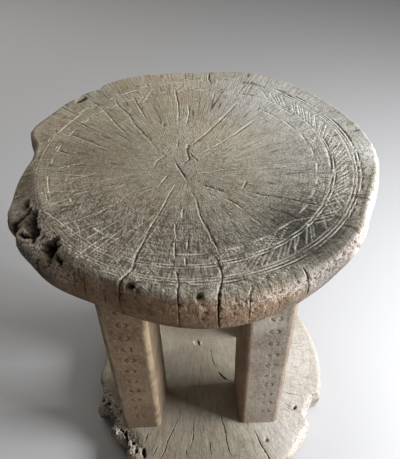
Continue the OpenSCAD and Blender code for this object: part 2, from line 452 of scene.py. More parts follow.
def rimPits(disc, rim):  # small holes at random round a disc's side
    chance = random.Random(rim["seed"])
    pits = []
    for start, stop, count, size in rim["runs"]:
        for _ in range(count):
            azimuth = chance.uniform(start, stop)
            drop = chance.triangular(1, rim["reach"], rim["crowded"])
            rounded = max(0, pitting["roundFrom"] - drop) * pitting["roundSlope"]
            radius = hewnRadius(azimuth, disc) - pitting["sunk"] - rounded
            halfWidth = size * chance.uniform(*pitting["sizes"])
            turn = math.radians(azimuth)
            pits.append([halfWidth, halfWidth * chance.uniform(*pitting["depths"]), radius * math.cos(turn),
                         radius * math.sin(turn), disc["top"] - drop])
    return pits


def dropLines(*lines):  # removes lines that are no longer needed
    for piece in lines:
        mesh = piece.data
        bpy.data.objects.remove(piece)
        bpy.data.meshes.remove(mesh)


# Discs

def discPiece(name, disc):  # rows of points from the middle of the top, over the edge and back below
    radius, top, under = disc["radius"], disc["top"], disc["under"]
    belly, topRound, underRound = disc["belly"], disc["topRound"], disc["underRound"]
    rim = radius - belly - topRound
    followFrom = disc["followFrom"]
    rows = []

    def outline(reach, azimuth):  # round in the middle, and like the hewn edge further out
        follow = smoothStep((reach / radius - followFrom) / (rim / radius - followFrom))
        edge = hewnRadius(azimuth, disc) - (radius - reach)
        return reach * (1 - follow) + edge * follow

    def addRow(spread, height, side, azimuth):
        rows.append((azimuth, spread, height + 0 * azimuth, side))

    everyTurn = np.concatenate([np.linspace(*spread, endpoint=False) for spread in disc["turns"]])
    for start, stop, gap, skip in disc["topRows"]:
        azimuth = everyTurn[::skip]
        for reach in np.arange(start, stop - 0.01, gap):
            spread = outline(min(reach, rim), azimuth)
            addRow(spread, top - disc["dish"] * (1 - np.minimum(spread / radius, 1) ** 2), 0.0, azimuth)
    edge, taper = hewnRadius(everyTurn, disc), bells(everyTurn, disc["tapers"])
    sideTop, sideLow = top - topRound, under + underRound
    for angle in np.linspace(90, 0, 6):
        turn = math.radians(angle)
        addRow(edge - belly - topRound * (1 - math.cos(turn)), sideTop + topRound * math.sin(turn),
               1 - angle / 90, everyTurn)
    for share in np.linspace(0, 1, disc["sideRows"])[1:-1]:
        addRow(edge - belly * (2 * share - 1) ** 2 - taper * share ** 1.5,
               sideTop + (sideLow - sideTop) * share, 1.0, everyTurn)
    for angle in np.linspace(0, -90, disc["roundRows"]):
        turn = math.radians(angle)
        addRow(edge - belly - taper - underRound * (1 - math.cos(turn)),
               sideLow + underRound * math.sin(turn), 1.0, everyTurn)
    for start, stop, gap, skip in disc["underRows"]:
        azimuth = everyTurn[::skip]
        for reach in np.arange(start, stop + 0.01, -gap):
            addRow(outline(reach, azimuth), under, 1.0, azimuth)

    # each spot is x, y, height, side, azimuth, reach
    spots, faces, starts = [(0, 0, top - disc["dish"], 0, 0, 0)], [], []
    for azimuth, spread, height, side in rows:
        starts.append(len(spots))
        x, y = spread * np.cos(np.radians(azimuth)), spread * np.sin(np.radians(azimuth))
        spots.extend(np.stack([x, y, height, side + 0 * azimuth, azimuth, spread], 1).tolist())
    count = len(rows[0][0])
    faces.extend([(0, 1 + k, 1 + (k + 1) % count) for k in range(count)])
    for a, b, rowA, rowB in zip(starts, starts[1:], rows, rows[1:]):
        na, nb = len(rowA[0]), len(rowB[0])
        if na == nb:
            faces.extend([(a + k, b + k, b + (k + 1) % na, a + (k + 1) % na) for k in range(na)])
        elif nb == 2 * na:
            for k in range(na):
                l, m, r, beyond = b + 2 * k, b + 2 * k + 1, b + (2 * k + 2) % nb, a + (k + 1) % na
                faces.extend([(a + k, l, m), (a + k, m, beyond), (m, r, beyond)])
        else:
            for k in range(nb):
                l, m, r, beyond = a + 2 * k, a + 2 * k + 1, a + (2 * k + 2) % na, b + (k + 1) % nb
                faces.extend([(l, b + k, m), (m, b + k, beyond), (m, beyond, r)])
    a, last, count = starts[-1], len(spots), len(rows[-1][0])
    faces.extend([(a + k, last, a + (k + 1) % count) for k in range(count)])
    spots.append((0, 0, under, 1, 0, 0))

    x, y, heights, sides, turns, reaches = np.array(spots).T
    slump = sum(drop * bell(turns, at, width) * smoothStep((reaches - start) / over)
                for at, width, start, drop, over in disc["slumps"])
    free = disc["splitFrom"]
    lowered = heights - slump * smoothStep((heights - under - free) / (top - under - free))
    # patches of tone and warmth, partly painted light
    tone, warmth = np.ones(len(x)), np.zeros(len(x))
    near = [np.exp(-((x - middleX) ** 2 + (y - middleY) ** 2) / spread ** 2) * (1 - sides)
            for middleX, middleY, spread, amount, warm in disc["patches"]]
    near += [bell(turns, at, width) * sides for at, width, amount, warm in disc["rimPatches"]]
    for share, patch in zip(near, disc["patches"] + disc["rimPatches"]):
        tone *= 1 + patch[-2] * share
        warmth += patch[-1] * share
    net = sum(amount * bell(turns, at, width) * np.exp(-((reaches - middle) / spread) ** 2)
              for at, width, middle, spread, amount in disc["nets"])
    fade, footFade = disc["ruinFades"]
    ruin = sum(amount * bell(turns, at, width) * smoothStep((reaches - start) / fade)
               * (1 - smoothStep((reaches - stop) / fade)) * smoothStep((heights - lowest) / footFade)
               for at, width, start, amount, stop, lowest in disc["ruins"])
    return makePiece(name, np.stack([x, y, lowered], 1) * mm, faces, values={
        "side": sides, "ruin": np.clip(ruin, 0, 1), "net": np.clip(net, 0, 1), "tone": tone,
        "warmth": np.clip(warmth, -1, 1)})


# Posts

def postPiece(name, post):  # rows of points up a hewn upright, closed at both ends
    corner, splay = post["corner"], post["splay"]
    innerEnd, near = post["gap"] / 2, post["gapDeep"] / 2
    innerOut, away = innerEnd + splay, near + post["depth"]
    outer = innerOut + post["width"]
    corners = [(innerEnd + corner, near), (outer - corner, near), (outer, near + corner),
               (outer, away - corner), (outer - corner, away), (innerOut + corner, away),
               (innerOut, away - corner), (innerEnd, near + corner)]
    loop, edge = [], []
    for k, (a, b) in enumerate(zip(corners, corners[1:] + corners[:1])):
        a, b = np.array(a), np.array(b)
        length = np.linalg.norm(b - a)
        count = max(3, round(length / post["step"]))
        for share in np.arange(count) / count:
            loop.append(a + (b - a) * share)
            gap = min(share, 1 - share) * length
            edge.append(1.0 if length < 2 * corner else max(0.0, 1 - gap / post["edgeWidth"]))
    plan = np.array(loop)
    for _ in range(post["softening"]):
        plan = plan * 0.5 + (np.roll(plan, 1, 0) + np.roll(plan, -1, 0)) * 0.25
    if post["side"] * post["end"] < 0:
        plan, edge = plan[::-1], edge[::-1]
    outward = np.clip((plan[:, 0] - innerEnd) / (outer - innerEnd), 0, 1)
    forward = np.clip((plan[:, 1] - near) / post["depth"], 0, 1)
    # A mask of the outward faces, and below zero of the inner faces, where painted shade and painted light
    # go.
    (outerFrom, outerOver), (innerFrom, innerOver) = post["outerSkin"], post["innerSkin"]
    skin = smoothStep((outward - outerFrom) / outerOver) - 1
    skin = (skin + smoothStep((outward - innerFrom) / innerOver)).tolist()
    foot, height, bite = post["foot"], post["height"], post["bite"]
    rows = round((height + 2 * bite) / post["step"])
    points, worn, paintedSideShadings = [], [], []
    for k in range(rows + 1):
        z = -bite + (height + 2 * bite) * k / rows
        share = np.clip(z / height, 0, 1)
        bent = plan.copy()
        bent[:, 0] += outward * post["outerFoot"] * (1 - share)
        bent[:, 0] -= (1 - outward) * forward * post["twist"] * share
        bent = bent * np.array([post["side"], post["end"]])
        shift = np.array([-post["shift"] - post["side"] * post["lean"] * z / height, 0])
        points.extend([(x * mm, y * mm, (foot + z) * mm) for x, y in bent + shift])
        worn.extend(edge)
        paintedSideShadings.extend(skin)
    count = len(loop)
    faces = [(low + k, low + (k + 1) % count, low + count + (k + 1) % count, low + count + k)
             for low in range(0, rows * count, count) for k in range(count)]
    for first, down in ((0, True), (rows * count, False)):
        middle = np.mean(points[first:first + count], axis=0)
        points.append(tuple(middle))
        worn.append(0.0)
        paintedSideShadings.append(0.0)
        centre = len(points) - 1
        for k in range(count):
            a, b = first + k, first + (k + 1) % count
            faces.append((centre, b, a) if down else (centre, a, b))
    return makePiece(name, points, faces, values={"edge": worn, "skin": paintedSideShadings})


# Shader groups

def endGrainShading():  # rays that spread from the pith, growth rings round it, and short fibre ends
    n, given = newTree("endGrain", {
        "Vector": (0, 0, 0), "Pith": (0, 0, 0), "Rays": 26.0, "Rings": 260.0, "Seed": 0.0},
        ("Rays", "Fine Rays", "Checks", "Rings"))
    local = n.vector("MULTIPLY", n.vector("SUBTRACT", given["Vector"], given["Pith"]), (1, 1, 0))
    reach = n.vector("LENGTH", local, out=1)
    way = n.split(n.vector("NORMALIZE", local))
    height = n.split(given["Vector"])[2]

    def field(turns, along, up, detail, offset):
        spot = n.combine(way[0] * turns, way[1] * turns, reach * along + height * up)
        return n.noise(spot, given["Seed"] + offset, 1.0, detail, 0.6)

    def splits(line, gaps, thin, wide, strength, low, high):  # line and gaps are turns, along and seed
        line, gaps = (field(given["Rays"] * turns, along, 2.0, 1.0, seed)
                      for turns, along, seed in (line, gaps))
        return n.spread(n.math("ABSOLUTE", line - 0.5), thin, wide, strength, 0.0) * n.spread(gaps, low, high)

    long = splits((0.55, 9.0, 14.0), (0.8, 60.0, 18.0), 0.004, 0.016, 1.0, 0.48, 0.58)
    short = splits((1.7, 30.0, 24.0), (0.9, 90.0, 28.0), 0.006, 0.03, 0.65, 0.52, 0.60)
    n.node("NodeGroupOutput", {
        "Rays": field(given["Rays"], 20.0, 3.0, 3.0, 0.0), "Checks": n.math("MAXIMUM", long, short),
        "Fine Rays": field(given["Rays"] * 3.2, 70.0, 5.0, 2.0, 4.0),
        "Rings": field(2.2, given["Rings"], 8.0, 3.0, 9.0)})


def uprightGrainShading():  # long streaks up the wood
    n, given = newTree("uprightGrain", {"Vector": (0, 0, 0), "Across": 420.0, "Along": 14.0, "Seed": 0.0},
                       ("Streaks", "Fibres"))
    results = {}
    for label, factor, offset in (("Streaks", 0.35, 0.0), ("Fibres", 1.3, 5.0)):
        across = given["Across"] * factor
        spot = n.vector("MULTIPLY", given["Vector"], n.combine(across, across, given["Along"] * factor))
        results[label] = n.noise(spot, given["Seed"] + offset, 1.0, 3.0, 0.6)
    n.node("NodeGroupOutput", results)


def patinaShading():  # broad stains, small specks and open pores
    marks = {  # seed, scale, detail and roughness
        "Stains": (0.0, 16.0, 5.0, 0.6), "Broad": (20.0, 9.6, 2.0, 0.5), "Patches": (30.0, 48.0, 3.0, 0.6),
        "Specks": (0.0, 700.0, 3.0, 0.7), "Crumbs": (40.0, 245.0, 3.0, 0.65)}
    n, given = newTree("patina", {"Vector": (0, 0, 0), "Seed": 0.0}, (*marks, "Pores"))
    results = {label: n.noise(given["Vector"], given["Seed"] + offset, *look)
               for label, (offset, *look) in marks.items()}
    cells = n.add("ShaderNodeTexVoronoi", {"Vector": given["Vector"], "Scale": 630.0}, "Distance")
    results["Pores"] = n.spread(cells, 0.12, 0.32, 1.0, 0.0, "SMOOTHSTEP")
    n.node("NodeGroupOutput", results)


def scratchShading():  # fine crossing strokes, at three angles
    n, given = newTree("scratches", {
        "Vector": (0, 0, 0), "Along": 90.0, "Across": 480.0, "Thin": 0.05, "Seed": 0.0},
        ("Strokes", "Gashes", "Relief"))
    bend = n.add("ShaderNodeTexNoise", {"Vector": given["Vector"], "Scale": 35.0}, "Color")
    bent = n.vector("ADD", given["Vector"], n.scaled(n.vector("SUBTRACT", bend, (0.5, 0.5, 0.5)), 0.006))
    x, y, z = n.split(bent)
    reach = n.vector("LENGTH", n.vector("MULTIPLY", bent, (1, 1, 0)), out=1)
    polar = n.combine(n.math("ARCTAN2", x, y * -1.0) * 0.1, reach, z)
    scale = n.combine(given["Along"], given["Across"], 60.0)
    found = []
    for k, angle in enumerate((0.05, 1.5, 2.3)):
        turned = n.add("ShaderNodeVectorRotate", {"Vector": polar, "Angle": angle}, rotation_type="Z_AXIS")
        field = n.noise(n.vector("MULTIPLY", turned, scale), given["Seed"] + 3.0 * k, 1.0, 1.0)
        line = n.spread(n.math("ABSOLUTE", field - 0.56), 0.0, given["Thin"], 1.0, 0.0, "SMOOTHSTEP")
        found.append((line, n.spread(field, 0.34, 0.4, 1.0, 0.0), field))
    strokes, gashes, relief = found[0]
    for line, gash, field in found[1:]:
        strokes, gashes = n.math("MAXIMUM", strokes, line), n.math("MAXIMUM", gashes, gash)
        relief = relief + field
    n.node("NodeGroupOutput", {"Strokes": strokes, "Gashes": gashes, "Relief": relief * 0.333})


for build in (endGrainShading, uprightGrainShading, patinaShading, scratchShading):
    build()


class Wood(Nodes):  # a wood material under construction
    def __init__(self, name, finish):
        self.material = bpy.data.materials.new(name)
        self.material.use_nodes = True
        super().__init__(self.material.node_tree)
        self.shader = self.tree.nodes["Principled BSDF"]
        self.shader.inputs["Specular IOR Level"].default_value = 0.25
        self.finish = finish
        self.place = self.add("ShaderNodeTexCoord", out="Object")
        self.patina = self.group("patina", {"Seed": finish["seed"]})

    def group(self, name, values):
        node = self.node("ShaderNodeGroup", {"Vector": self.place, **values}, node_tree=trees[name])
        return self.named(node)

    def kept(self, *names):  # values that the mesh carries
        return [self.add("ShaderNodeAttribute", out="Fac", attribute_name=name) for name in names]

    def blend(self, factor, a, b, way="MIX"):
        a, b = (value if isinstance(value, Wire) else (*value, 1.0) for value in (a, b))
        return self.add("ShaderNodeMix", {0: factor, 6: a, 7: b}, 2, data_type="RGBA", blend_type=way)

    def tint(self, below, colour, mask, *span):  # a colour of the finish, as far as the mask goes
        return self.blend(self.spread(mask, *span), below, self.finish[colour])

    def shade(self, below, colour):
        return self.blend(1.0, below, colour, "MULTIPLY")

    def done(self, colour, height):
        finish = self.finish
        roughness = finish["roughness"]
        rough = self.spread(self.patina["Specks"], 0.3, 0.7, roughness - 0.1, roughness + 0.1)
        bump = self.add("ShaderNodeBump", {"Height": height, "Strength": finish["bump"],
                                           "Distance": finish["relief"] * mm})
        for name, value in (("Normal", bump), ("Base Color", colour), ("Roughness", rough)):
            self.tree.links.new(value.socket, self.shader.inputs[name])
        return self.material


def discWood(name, finish):
    w = Wood(name, finish)
    patina, seed, speckle = w.patina, finish["seed"], finish["speckle"]
    grain = w.group("endGrain", {"Pith": tuple(p * mm for p in finish["pith"]), "Rays": finish["rays"],
                                 "Rings": finish["rings"], "Seed": seed})
    upright = w.group("uprightGrain", {"Seed": seed, "Across": finish["across"]})
    tooled = w.group("uprightGrain", {"Vector": w.vector("MULTIPLY", w.place, (1, 0.3, 0)), "Seed": seed + 3})
    scratches = w.group("scratches", {"Seed": seed, "Thin": finish["strokeThin"],
                                      "Along": finish["strokeAlong"], "Across": finish["strokeAcross"]})
    side, ruin, net, tone, warmth = w.kept("side", "ruin", "net", "tone", "warmth")
    crack, cavity, incised, pit = w.kept("crack", "cavity", "incised", "pit")
    cool = w.spread(warmth, 0.0, -1.0)

    # upper face
    face = w.tint(finish["faceDark"], "facePale", patina["Stains"], 0.4, 0.6)
    face = w.tint(face, "faceWarm", patina["Broad"], 0.44, 0.6, 0.0, finish["warming"])
    face = w.tint(face, "faceBloom", patina["Patches"], 0.5, 0.6, 0.0, finish["bloom"])
    # warmth and coolness from the patches: partly painted light, cooler and paler on the right
    face = w.tint(face, "faceWarm", warmth, 0.0, 1.0)
    face = w.blend(cool, face, finish["faceCool"])
    face = w.blend(w.spread(grain["Rays"], 0.3, 0.6), w.shade(face, finish["rayShade"]), face)
    face = w.tint(face, "rayPale", grain["Fine Rays"], 0.5, 0.7, 0.0, 0.3)
    face = w.tint(face, "ringShade", grain["Rings"], 0.55, 0.7, 0.0, 0.25)
    face = w.blend(patina["Pores"] * (0.35 * speckle), face, finish["pore"])
    specks = w.spread(patina["Specks"], 0.40, 0.52, 1.0, 0.0)
    for mask, plain, netted, colour in (
            (specks, 0.25 * speckle, finish["netShade"], "pore"),
            (scratches["Strokes"], finish["strokes"], finish["netStrokes"], "stroke"),
            (scratches["Gashes"], finish["strokes"], 0.6, "pore")):
        face = w.blend(mask * w.spread(net, 0.0, 1.0, plain, netted), face, finish[colour])
    face = w.blend(grain["Checks"] * finish["checks"], face, finish["crackShade"])
    # Incised lines paler: partly dust, partly painted light on the groove wall that faces the light.
    face = w.tint(w.shade(face, tone), "dust", incised, 0.1, 0.8, 0.0, finish["dustAmount"])

    # worn side
    rim = w.tint(finish["sideDark"], "sidePale", patina["Stains"], 0.38, 0.62)
    rim = w.tint(rim, "sideStreak", patina["Patches"], 0.45, 0.62, 0.0, 0.7)
    rim = w.tint(rim, "sideStreak", upright["Streaks"], 0.45, 0.7, 0.0, 0.3)
    rim = w.tint(rim, "sideWarm", warmth, 0.0, 1.0)
    rim = w.shade(w.blend(cool, rim, finish["sideCool"]), tone)
    # Darker towards the bottom of the side, less so where the wood is cool.
    bottomDarkened = w.spread(w.split(w.place)[2], finish["lowest"] * mm, finish["clean"] * mm,
                      finish["soiling"], 0.0) * w.math("SUBTRACT", 1.0, cool)
    rim = w.blend(bottomDarkened, rim, w.shade(rim, finish["soil"]))
    rim = w.tint(rim, "pore", patina["Patches"], 0.36, 0.50, 0.45, 0.0)
    rim = w.tint(rim, "pore", patina["Crumbs"], 0.36, 0.50, 0.55, 0.0)
    rim = w.tint(rim, "pore", patina["Specks"], 0.38, 0.52, 0.5, 0.0)
    wood = w.blend(w.spread(side + w.spread(patina["Stains"], 0.3, 0.7, -0.35, 0.35), 0.2, 0.7), face, rim)

    # crumbled wood, holes and cracks
    raw = w.tint(finish["ruined"], "rawPale", patina["Specks"], 0.40, 0.54)
    raw = w.tint(raw, "ruined", patina["Crumbs"], 0.38, 0.50, 0.6, 0.0)
    wood = w.blend(w.spread(ruin, 0.2, 0.7, 0.0, 0.85), wood, w.shade(raw, tone))
    # Holes and pits painted near black: painted shade over their carved depth.
    wood = w.tint(wood, "hollow", cavity, 0.1, 0.6)
    wood = w.tint(wood, "hollow", pit, 0.1, 0.8, 0.0, 0.85)
    wood = w.tint(wood, "crackShade", crack, 0.2, 0.6)

    height = (grain["Fine Rays"] * w.spread(side, 0.2, 0.6, 1.0, 0.0) + upright["Fibres"] * (side * 0.5)
              + patina["Crumbs"] * (side * 2.0)
              + patina["Specks"] * w.spread(net, 0.0, 1.0, 0.8 * speckle, 2.0)
              - patina["Pores"] * (0.5 * speckle)
              + scratches["Relief"] * w.spread(net, 0.0, 1.0, 0.8 * speckle, 3.0)
              + tooled["Streaks"] * finish["tooling"] - incised * 0.8)
    return w.done(wood, height)


def postWood(name, finish):
    w = Wood(name, finish)
    patina = w.patina
    upright = w.group("uprightGrain", {"Seed": finish["seed"], "Across": finish["across"],
                                       "Along": finish["along"]})
    edge, skin, mark = w.kept("edge", "skin", "mark")
    wood = w.tint(finish["dark"], "pale", patina["Stains"], 0.38, 0.62)
    wood = w.tint(wood, "streak", patina["Broad"], 0.42, 0.6, 0.0, 0.6)
    wood = w.tint(wood, "smudge", patina["Patches"], 0.48, 0.62, 0.0, finish["smudging"])
    # Lighter towards the foot: painted light on the lower part of the post.
    low = w.spread(w.split(w.place)[2], finish["footTop"] * mm, finish["footLow"] * mm,
                   0.0, finish["footAmount"])
    wood = w.blend(low * w.spread(patina["Patches"], 0.40, 0.58, 0.4, 1.0), wood, finish["foot"])
    wood = w.tint(wood, "fibre", patina["Crumbs"], 0.52, 0.66, 0.0, 0.35)
    wood = w.tint(wood, "streak", upright["Streaks"], 0.45, 0.66, 0.0, 0.25)
    # Outward faces darker: partly the wood's own brown edge, partly painted shade.
    wood = w.tint(wood, "skin", skin, 0.0, 1.0, 0.0, finish["skinAmount"])
    rubbed = w.spread(edge, 0.2, 0.9) * w.spread(patina["Patches"], 0.42, 0.56, 0.05, 1.0)
    wood = w.blend(rubbed * finish["rubbing"], wood, finish["rubbed"])
    wood = w.blend(patina["Pores"] * 0.3, wood, finish["pore"])
    wood = w.tint(wood, "pore", patina["Crumbs"], 0.34, 0.44, 0.35, 0.0)
    wood = w.tint(wood, "dust", patina["Specks"], 0.55, 0.72, 0.0, 0.5)
    wood = w.tint(wood, "markShade", mark, 0.2, 0.8)
    # Inner faces: painted light on the left posts, painted shade on the right posts.
    wood = w.blend(w.spread(skin, -0.2, -1.0), wood, w.shade(wood, finish["innerShade"]))
    return w.done(wood, upright["Fibres"] * 0.4 + patina["Specks"] * 0.7 + patina["Crumbs"])


print("shading ready")


# Dressing

carving = {  # how each kind of line is cut, as the carving tree's inputs
    "cavity": {"Sharpness": 0.7, "Ragged": 2.4 * mm}, "crack": {"Sharpness": 0.8, "Ragged": 0.5 * mm},
    "pit": {"Sharpness": 0.7, "Ragged": 0.7 * mm, "Least Facing": -1.0, "Flatten": (1.0, 1.0, 1.0)},
    "incised": {"Sharpness": 1.0, "Ragged": 0.3 * mm, "Least Facing": 0.6},
    "mark": {"Sharpness": 0.8, "Ragged": 0.3 * mm, "Least Facing": 0.5, "Flatten": (1.0, 0.0, 1.0)},
}


def carve(piece, mask, lines, material, **more):
    runTree(piece, "carveAlongLines", {
        "Lines": lines, "Mask": mask, "Wood": material, **carving[mask], **more})


def wear(piece, values, material):
    runTree(piece, "wornSurface", {
        "Wave": values["wave"] * mm, "Wave Scale": values["waveScale"], "Rough": values["rough"] * mm,
        "Rough Scale": values["roughScale"], "Ruin": values["ruin"] * mm, "Seed": float(values["seed"]),
        "Floor": values["floor"] * mm, "Wood": material})


def ringLines(wire, rings):
    for radius, centre, wander, halfWidth, depth, least, strongSide, seed in rings:
        runTree(wire, "incisedRing", {
            "Radius": radius * mm, "Centre": [c * mm for c in centre], "Wander": wander * mm,
            "Half Width": halfWidth * mm, "Depth": depth * mm, "Least": least,
            "Strong Side": [float(v) for v in strongSide], "Seed": seed})


def dressDisc(piece, disc, material, cracks, cavities, pits, scratches, traced=(), grooves=()):
    wear(piece, disc, material)
    splitNear(piece, cracks, traced, disc["splitZones"], (disc["under"] + disc["splitFrom"]) * mm)
    helpers = []
    for mask, lines, blunt in (("cavity", cavities, 1.0), ("crack", cracks, drawing["blunt"])):
        wire = crackLines(piece.name + mask, lines, seed=len(mask) + len(lines), blunt=blunt)
        helpers.append(wire)
        if mask == "crack" and grooves:
            ringLines(wire, grooves)
            bakeTrees(wire)
        carve(piece, mask, wire, material)
    holes = pitLines(piece.name + "pit", pits, piece)
    carve(piece, "pit", holes, material)
    carve(piece, "incised", scratches, material)
    bakeTrees(piece)
    dropLines(*helpers, holes, scratches)


def insideBox(piece, node, room=(0, 0, 0)):  # a piece stays inside its solid's box, widened by the room
    low, high = (np.array(corner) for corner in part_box(node))
    spots = np.zeros(len(piece.data.vertices) * 3, dtype=np.float32)
    piece.data.vertices.foreach_get("co", spots)
    spots = np.clip(spots.reshape(-1, 3), low - np.array(room), high + np.array(room))
    piece.data.vertices.foreach_set("co", spots.ravel())
    piece.data.update()


# The seat

seat = {
    # outline: azimuth, width and height, in percent of the radius for lobes and in mm for the rest
    "radius": 139, "top": 332, "under": 296, "dish": 3, "belly": 1.5, "topRound": 5, "underRound": 9,
    "lobes": [[120, 14, 6.5], [140, 10, 2.9], [160, 9, 5], [177, 7, -7.9], [-158, 12, 3.2], [-140, 16, 4.3],
              [60, 16, 5], [85, 6, -2.9], [-28, 7, -2.2], [-120, 24, -4.3], [8, 20, 1.4]],
    "nicks": [[104, 1.6, -2.5], [128, 1.8, -3.5], [137, 1.5, -2.5], [80, 2, -1.5], [147, 12, 3],
              [168, 4.5, -6.5], [179, 5, 3], [197, 4, 2.5], [204.5, 1.8, -4.5], [210, 3, 1], [213, 10, -2],
              [-18.5, 9, -3], [56, 10, -2.5], [83, 6, 3], [106, 6, 2]],
    "breaks": [], "tapers": [[-46, 22, 4]],
    # crumbled parts: azimuth, width, from, strength, to, lowest
    "ruins": [[198, 8, 120, 0.35, 146, 308], [206, 9, 116, 0.7, 122, 300], [214.5, 5, 122, 1.0, 999, 308],
              [224, 5, 116, 0.5, 124, 306], [229, 6, 126, 0.25, 999, 308], [160, 14, 128, 0.25, 999, 300],
              [245, 20, 131, 0.45, 999, 316], [280, 40, 132, 0.32, 999, 320], [328, 34, 131, 0.9, 999, 316],
              [20, 60, 135, 0.25, 999, 300]],
    # slumped edge: azimuth, width, from, drop, over
    "slumps": [[200, 20, 118, 11, 20], [224, 10, 126, 6, 14], [-120, 14, 124, 4, 10], [-60, 40, 128, 2, 8]],
    # face patches: x, y, spread, tone, warmth; rim patches: azimuth, width, tone, warmth. The tone is partly
    # the wood's own and partly painted light: brighter and cooler on the right, where the key light falls,
    # and darker on the left.
    "patches": [[-85, 5, 42, -0.36, 0.5], [-66, -74, 42, -0.5, 0.9], [0, -98, 42, -0.48, 0.2],
                [70, -86, 40, -0.86, -0.1], [-8, -18, 34, -0.1, 0.1], [110, 40, 45, 0.14, -0.8],
                [60, 90, 45, 0.2, -0.9], [-30, 80, 40, -0.08, 0.1], [90, -15, 40, -0.07, -0.5],
                [134, -4, 16, 0.45, -0.8], [-105.5, -78, 8, 0.5, 0.8], [-101.5, -69, 5, 0.2, 1.2],
                [-121, -66, 5, 0.7, 0.0]],
    "rimPatches": [[-85, 42, 0.0, 0.75], [-118, 20, 0.35, 0.35], [-147, 20, -0.45, 0.1],
                   [-111, 3, -0.35, 0.9], [-123, 3, -0.3, 0.4], [-51, 14, -0.66, -1.0],
                   [-29, 12, 1.2, -1.5], [-37, 2.4, 0.0, 3.0], [10, 28, -0.38, -1.0], [55, 36, -0.42, 0.0],
                   [-47, 3, 0.0, 1.2], [180, 40, 0.05, 0.1]],
    # netted strokes: azimuth, width, middle, spread, strength
    "nets": [[-90, 50, 100, 45, 0.9], [-20, 50, 105, 30, 0.8], [-132, 26, 98, 32, 0.9],
             [0, 999, 0, 42, 0.8], [180, 45, 100, 50, 0.2]],
    # spokes: from, to, number; rows: from, to, gap, every how many spokes
    "turns": [(-180, 60, 560), (60, 180, 168)], "sideRows": 12, "roundRows": 6,
    "topRows": [(1.5, 12, 1.5, 8), (12, 60, 1.6, 4), (60, 88, 1.6, 2), (88, 102.4, 1.2, 1),
                (102.4, 126, 0.78, 1), (126, 132.4, 1.1, 1)],
    "underRows": [(121, 112, 3, 2), (109, 60, 4, 4), (56, 4, 5, 8)],
    "wave": 0.9, "waveScale": 17.0, "rough": 0.35, "roughScale": (260, 260, 120), "ruin": 5.0, "seed": 3.0,
    "floor": -100, "splitZones": [[211, 25, 113, 312]], "splitFrom": 6,
    "ruinFades": (8, 6), "followFrom": 0.8,
}
seatFinish = {
    "pith": (-7, -16, 0), "rays": 24.0, "rings": 240.0, "seed": 2.0, "roughness": 0.85, "bump": 0.7,
    "relief": 0.9, "strokeThin": 0.035, "strokeAlong": 80.0, "strokeAcross": 560.0, "warming": 0.5,
    "bloom": 0.5, "strokes": 0.15, "netStrokes": 0.8, "netShade": 0.9, "dustAmount": 0.64, "checks": 0.85,
    "tooling": 0.0, "speckle": 0.58, "across": 420.0, "lowest": 298.0, "clean": 324.0, "soiling": 0.8,
    "soil": (0.55, 0.48, 0.44),
    "faceDark": (0.16, 0.141, 0.096), "facePale": (0.272, 0.249, 0.18), "faceWarm": (0.235, 0.168, 0.103),
    "faceCool": (0.27, 0.273, 0.265), "faceBloom": (0.3, 0.296, 0.24), "rayShade": (0.8, 0.78, 0.74),
    "rayPale": (0.4, 0.375, 0.3), "ringShade": (0.15, 0.13, 0.09), "pore": (0.07, 0.058, 0.038),
    "stroke": (0.48, 0.45, 0.37), "dust": (0.53, 0.5, 0.425),
    "sideDark": (0.155, 0.105, 0.07), "sidePale": (0.4, 0.32, 0.25), "sideStreak": (0.41, 0.33, 0.26),
    "sideWarm": (0.33, 0.205, 0.118), "sideCool": (0.55, 0.54, 0.54),
    "ruined": (0.085, 0.06, 0.04), "rawPale": (0.6, 0.535, 0.47), "hollow": (0.022, 0.014, 0.009),
    "crackShade": (0.035, 0.028, 0.021),
}
